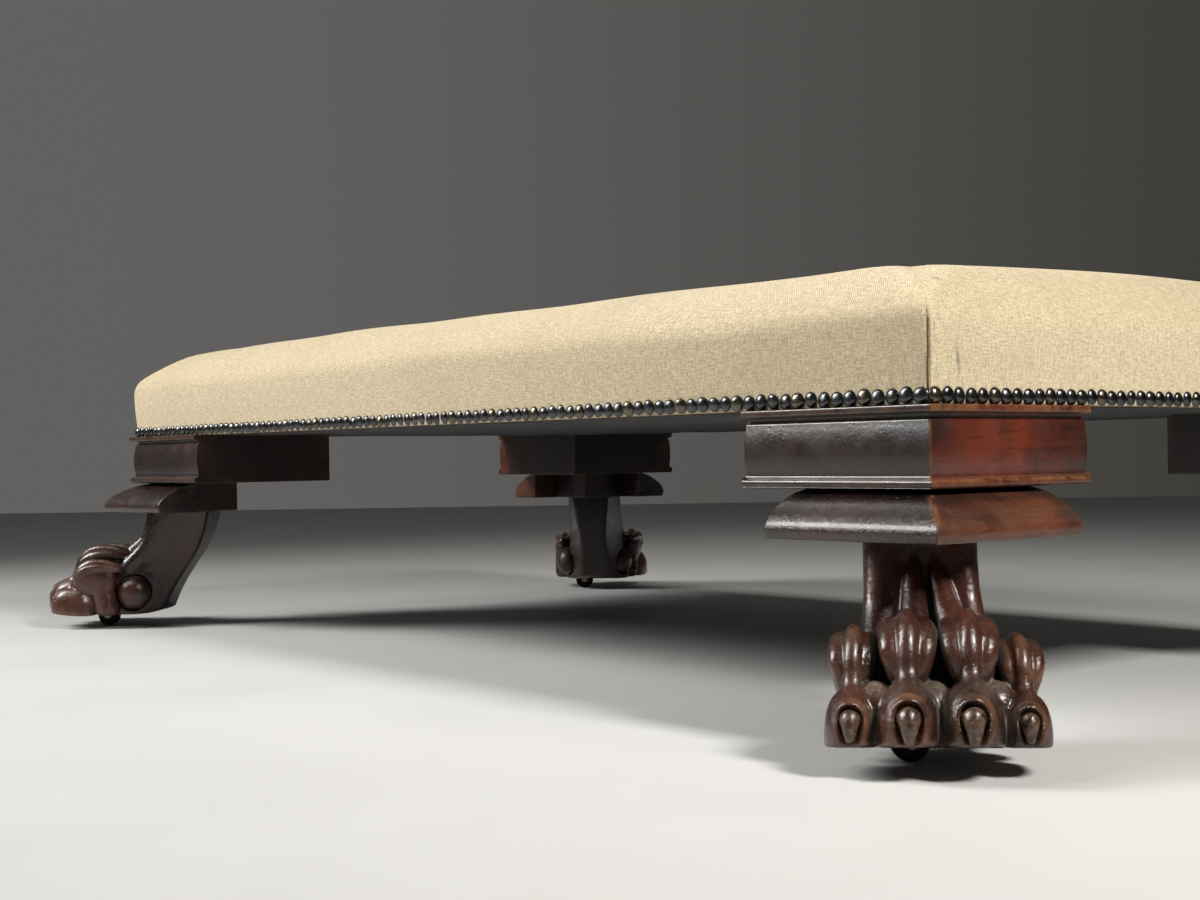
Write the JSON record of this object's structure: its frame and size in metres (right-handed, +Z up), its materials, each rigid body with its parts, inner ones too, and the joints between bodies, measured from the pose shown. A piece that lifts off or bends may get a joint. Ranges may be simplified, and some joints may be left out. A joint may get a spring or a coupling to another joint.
{
  "type": "footstool",
  "caption": "Low upholstered footstool: crowned linen seat edged with dome nails, moulded mahogany corner blocks and carved paw legs standing on small swivel castors.",
  "frame": {"origin": "on the floor under the middle of the seat", "axes": "X along the long side, Y along the short side, Z up"},
  "size_m": [1.4834, 0.9564, 0.343],
  "materials": {
    "mahogany": "old glossy polish, worn on the edges",
    "frame_wood": "sawn, unfinished",
    "linen": "woven twill with a soft nap",
    "stuffing": "fibre pad",
    "jute": "woven straps",
    "hessian": "coarse plain weave",
    "dust_cloth": "plain weave",
    "antique_nail": "dark antique",
    "castor_brass": "aged",
    "castor_iron": "dark, worn",
    "screw_steel": "plain"
  },
  "bodies": {
    "stool": {"front_rail": "frame_wood", "back_rail": "frame_wood", "left_rail": "frame_wood", "right_rail": "frame_wood", "corner_braces": "frame_wood", "long_webbing": "jute", "cross_webbing": "jute", "base_hessian": "hessian", "dust_cover": "dust_cloth", "stuffing_pad": "stuffing", "linen_cover": "linen", "dome_nails": "antique_nail", "leg_dowels": "frame_wood", "castor_screws": "screw_steel", "front_left_block": "mahogany", "front_left_pad_core": "mahogany", "front_left_frieze_front": "mahogany", "front_left_thumb_front": "mahogany", "front_left_frieze_left": "mahogany", "front_left_thumb_left": "mahogany", "front_left_paw_leg": "mahogany", "front_left_castor_plate": "castor_brass", "front_right_block": "mahogany", "front_right_pad_core": "mahogany", "front_right_frieze_right": "mahogany", "front_right_thumb_right": "mahogany", "front_right_frieze_front": "mahogany", "front_right_thumb_front": "mahogany", "front_right_paw_leg": "mahogany", "front_right_castor_plate": "castor_brass", "back_right_block": "mahogany", "back_right_pad_core": "mahogany", "back_right_frieze_back": "mahogany", "back_right_thumb_back": "mahogany", "back_right_frieze_right": "mahogany", "back_right_thumb_right": "mahogany", "back_right_paw_leg": "mahogany", "back_right_castor_plate": "castor_brass", "back_left_block": "mahogany", "back_left_pad_core": "mahogany", "back_left_frieze_left": "mahogany", "back_left_thumb_left": "mahogany", "back_left_frieze_back": "mahogany", "back_left_thumb_back": "mahogany", "back_left_paw_leg": "mahogany", "back_left_castor_plate": "castor_brass"},
    "fork_front_left": {"front_left_castor_fork": "castor_brass", "front_left_castor_axle": "screw_steel"},
    "wheel_front_left": {"front_left_castor_wheel": "castor_iron"},
    "fork_front_right": {"front_right_castor_fork": "castor_brass", "front_right_castor_axle": "screw_steel"},
    "wheel_front_right": {"front_right_castor_wheel": "castor_iron"},
    "fork_back_right": {"back_right_castor_fork": "castor_brass", "back_right_castor_axle": "screw_steel"},
    "wheel_back_right": {"back_right_castor_wheel": "castor_iron"},
    "fork_back_left": {"back_left_castor_fork": "castor_brass", "back_left_castor_axle": "screw_steel"},
    "wheel_back_left": {"back_left_castor_wheel": "castor_iron"}
  },
  "joints": [
    {"name": "swivel_front_left", "type": "hinge", "parent": "stool", "child": "fork_front_left", "pos_m": [-0.64307, -0.37957, 0.03], "axis": [0, 0, 1], "continuous": true},
    {"name": "roll_front_left", "type": "hinge", "parent": "fork_front_left", "child": "wheel_front_left", "pos_m": [-0.65445, -0.39352, 0.013], "axis": [0.7749, -0.632, 0], "continuous": true},
    {"name": "swivel_front_right", "type": "hinge", "parent": "stool", "child": "fork_front_right", "pos_m": [0.64307, -0.37957, 0.03], "axis": [0, 0, 1], "continuous": true},
    {"name": "roll_front_right", "type": "hinge", "parent": "fork_front_right", "child": "wheel_front_right", "pos_m": [0.6317, -0.39352, 0.013], "axis": [0.7749, -0.632, 0], "continuous": true},
    {"name": "swivel_back_right", "type": "hinge", "parent": "stool", "child": "fork_back_right", "pos_m": [0.64307, 0.37957, 0.03], "axis": [0, 0, 1], "continuous": true},
    {"name": "roll_back_right", "type": "hinge", "parent": "fork_back_right", "child": "wheel_back_right", "pos_m": [0.6317, 0.36562, 0.013], "axis": [0.7749, -0.632, 0], "continuous": true},
    {"name": "swivel_back_left", "type": "hinge", "parent": "stool", "child": "fork_back_left", "pos_m": [-0.64307, 0.37957, 0.03], "axis": [0, 0, 1], "continuous": true},
    {"name": "roll_back_left", "type": "hinge", "parent": "fork_back_left", "child": "wheel_back_left", "pos_m": [-0.65445, 0.36562, 0.013], "axis": [0.7749, -0.632, 0], "continuous": true}
  ]
}
